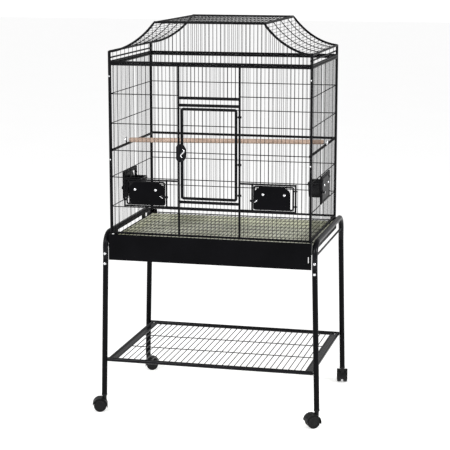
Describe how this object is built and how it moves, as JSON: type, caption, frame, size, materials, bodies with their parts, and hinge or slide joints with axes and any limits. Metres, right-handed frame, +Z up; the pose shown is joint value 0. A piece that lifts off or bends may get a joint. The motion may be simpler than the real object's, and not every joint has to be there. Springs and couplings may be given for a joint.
{
  "type": "bird cage on stand",
  "caption": "Rectangular wire flight cage with a flat-topped curved roof, doors, feeder doors, slide-out tray and perch, on a wheeled tube stand with a wire shelf.",
  "frame": {"origin": "on the floor under the middle of the whole object's bounding box", "axes": "+Z up, +X to the right as seen from the front, the main door faces -Y"},
  "size_m": [0.9502, 0.7102, 1.5694],
  "materials": {
    "black_coat": "black powder coat, slightly glossy",
    "perch_timber": "bare sanded hardwood",
    "tray_pale": "pale plastic tray",
    "cup_plastic": "black moulded plastic",
    "caster_plastic": "black moulded nylon",
    "bright_steel": "bright zinc plate",
    "latch_steel": "black glossy coat with worn bright edges"
  },
  "bodies": {
    "cage": {"base_frame": "black_coat", "front_panel": "black_coat", "back_panel": "black_coat", "left_panel": "black_coat", "right_panel": "black_coat", "roof_front_gable": "black_coat", "roof_back_gable": "black_coat", "roof_left_curve": "black_coat", "roof_right_curve": "black_coat", "roof_deck": "black_coat", "latch_keeper": "black_coat", "perch": "perch_timber", "perch_washer_left": "bright_steel", "perch_washer_right": "bright_steel", "stand_arch_left": "black_coat", "stand_arch_right": "black_coat", "shelf": "black_coat", "leg_front_left": "black_coat", "bolt_upper_front_left": "bright_steel", "bolt_lower_front_left": "bright_steel", "leg_front_right": "black_coat", "bolt_upper_front_right": "bright_steel", "bolt_lower_front_right": "bright_steel", "leg_back_right": "black_coat", "bolt_upper_back_right": "bright_steel", "bolt_lower_back_right": "bright_steel", "leg_back_left": "black_coat", "bolt_upper_back_left": "bright_steel", "bolt_lower_back_left": "bright_steel"},
    "main_door": {"main_door": "black_coat"},
    "latch_knob": {"latch_knob": "latch_steel"},
    "tray": {"tray": "tray_pale", "tray_rim": "tray_pale", "tray_front": "black_coat"},
    "grate": {"grate": "black_coat"},
    "feeder_door_front_left": {"feeder_door_front_left": "black_coat"},
    "seed_cup_front_left": {"seed_cup_front_left": "cup_plastic"},
    "feeder_latch_front_left": {"feeder_latch_front_left": "latch_steel"},
    "feeder_door_front_right": {"feeder_door_front_right": "black_coat"},
    "seed_cup_front_right": {"seed_cup_front_right": "cup_plastic"},
    "feeder_latch_front_right": {"feeder_latch_front_right": "latch_steel"},
    "feeder_door_left": {"feeder_door_left": "black_coat"},
    "seed_cup_left": {"seed_cup_left": "cup_plastic"},
    "feeder_latch_left": {"feeder_latch_left": "latch_steel"},
    "feeder_door_right": {"feeder_door_right": "black_coat"},
    "seed_cup_right": {"seed_cup_right": "cup_plastic"},
    "feeder_latch_right": {"feeder_latch_right": "latch_steel"},
    "caster_front_left": {"caster_hood_front_left": "caster_plastic"},
    "wheels_front_left": {"caster_wheels_front_left": "caster_plastic"},
    "caster_front_right": {"caster_hood_front_right": "caster_plastic"},
    "wheels_front_right": {"caster_wheels_front_right": "caster_plastic"},
    "caster_back_right": {"caster_hood_back_right": "caster_plastic"},
    "wheels_back_right": {"caster_wheels_back_right": "caster_plastic"},
    "caster_back_left": {"caster_hood_back_left": "caster_plastic"},
    "wheels_back_left": {"caster_wheels_back_left": "caster_plastic"}
  },
  "joints": [
    {"name": "main_door_hinge", "type": "hinge", "parent": "cage", "child": "main_door", "pos_m": [0.13595, -0.29976, 1.05968], "axis": [0, 0, 1], "range_deg": [0, 110]},
    {"name": "latch_turn", "type": "hinge", "parent": "main_door", "child": "latch_knob", "pos_m": [-0.08655, -0.29976, 1.06368], "axis": [0, -1, 0], "range_deg": [0, 90]},
    {"name": "tray_slide", "type": "slide", "parent": "cage", "child": "tray", "axis": [0, -1, 0], "range_m": [0, 0.5]},
    {"name": "grate_lift", "type": "slide", "parent": "tray", "child": "grate", "axis": [0, 0, 1], "range_m": [0, 0.009]},
    {"name": "feeder_hinge_front_left", "type": "hinge", "parent": "cage", "child": "feeder_door_front_left", "pos_m": [-0.32805, -0.29976, 0.89968], "axis": [0, 0, -1], "range_deg": [0, 100]},
    {"name": "feeder_latch_turn_front_left", "type": "hinge", "parent": "feeder_door_front_left", "child": "feeder_latch_front_left", "pos_m": [-0.17455, -0.29976, 0.88768], "axis": [0, -1, 0], "range_deg": [0, 90]},
    {"name": "cup_lift_front_left", "type": "slide", "parent": "feeder_door_front_left", "child": "seed_cup_front_left", "axis": [0, 0, 1], "range_m": [0, 0.014]},
    {"name": "feeder_hinge_front_right", "type": "hinge", "parent": "cage", "child": "feeder_door_front_right", "pos_m": [0.35695, -0.29976, 0.89968], "axis": [0, 0, 1], "range_deg": [0, 100]},
    {"name": "feeder_latch_turn_front_right", "type": "hinge", "parent": "feeder_door_front_right", "child": "feeder_latch_front_right", "pos_m": [0.20345, -0.29976, 0.88768], "axis": [0, -1, 0], "range_deg": [0, 90]},
    {"name": "cup_lift_front_right", "type": "slide", "parent": "feeder_door_front_right", "child": "seed_cup_front_right", "axis": [0, 0, 1], "range_m": [0, 0.014]},
    {"name": "feeder_hinge_left", "type": "hinge", "parent": "cage", "child": "feeder_door_left", "pos_m": [-0.38555, 0.03574, 0.89968], "axis": [0, 0, -1], "range_deg": [0, 100]},
    {"name": "feeder_latch_turn_left", "type": "hinge", "parent": "feeder_door_left", "child": "feeder_latch_left", "pos_m": [-0.38555, -0.11776, 0.88768], "axis": [-1, 0, 0], "range_deg": [0, 90]},
    {"name": "cup_lift_left", "type": "slide", "parent": "feeder_door_left", "child": "seed_cup_left", "axis": [0, 0, 1], "range_m": [0, 0.014]},
    {"name": "feeder_hinge_right", "type": "hinge", "parent": "cage", "child": "feeder_door_right", "pos_m": [0.41445, 0.10574, 0.89968], "axis": [0, 0, 1], "range_deg": [0, 100]},
    {"name": "feeder_latch_turn_right", "type": "hinge", "parent": "feeder_door_right", "child": "feeder_latch_right", "pos_m": [0.41445, -0.04776, 0.88768], "axis": [1, 0, 0], "range_deg": [0, 90]},
    {"name": "cup_lift_right", "type": "slide", "parent": "feeder_door_right", "child": "seed_cup_right", "axis": [0, 0, 1], "range_m": [0, 0.014]},
    {"name": "swivel_front_left", "type": "hinge", "parent": "cage", "child": "caster_front_left", "pos_m": [-0.42155, -0.31076, 0.05968], "axis": [0, 0, 1], "continuous": true},
    {"name": "roll_front_left", "type": "hinge", "parent": "caster_front_left", "child": "wheels_front_left", "pos_m": [-0.43867, -0.31632, 0.02568], "axis": [-0.309, 0.9511, 0], "continuous": true},
    {"name": "swivel_front_right", "type": "hinge", "parent": "cage", "child": "caster_front_right", "pos_m": [0.45045, -0.31076, 0.05968], "axis": [0, 0, 1], "continuous": true},
    {"name": "roll_front_right", "type": "hinge", "parent": "caster_front_right", "child": "wheels_front_right", "pos_m": [0.43486, -0.31976, 0.02568], "axis": [-0.5, 0.866, 0], "continuous": true},
    {"name": "swivel_back_right", "type": "hinge", "parent": "cage", "child": "caster_back_right", "pos_m": [0.45045, 0.30324, 0.05968], "axis": [0, 0, 1], "continuous": true},
    {"name": "roll_back_right", "type": "hinge", "parent": "caster_back_right", "child": "wheels_back_right", "pos_m": [0.44764, 0.32102, 0.02568], "axis": [0.9877, 0.1564, 0], "continuous": true},
    {"name": "swivel_back_left", "type": "hinge", "parent": "cage", "child": "caster_back_left", "pos_m": [-0.42155, 0.30324, 0.05968], "axis": [0, 0, 1], "continuous": true},
    {"name": "roll_back_left", "type": "hinge", "parent": "caster_back_left", "child": "wheels_back_left", "pos_m": [-0.40433, 0.3085, 0.02568], "axis": [0.2924, -0.9563, 0], "continuous": true}
  ]
}
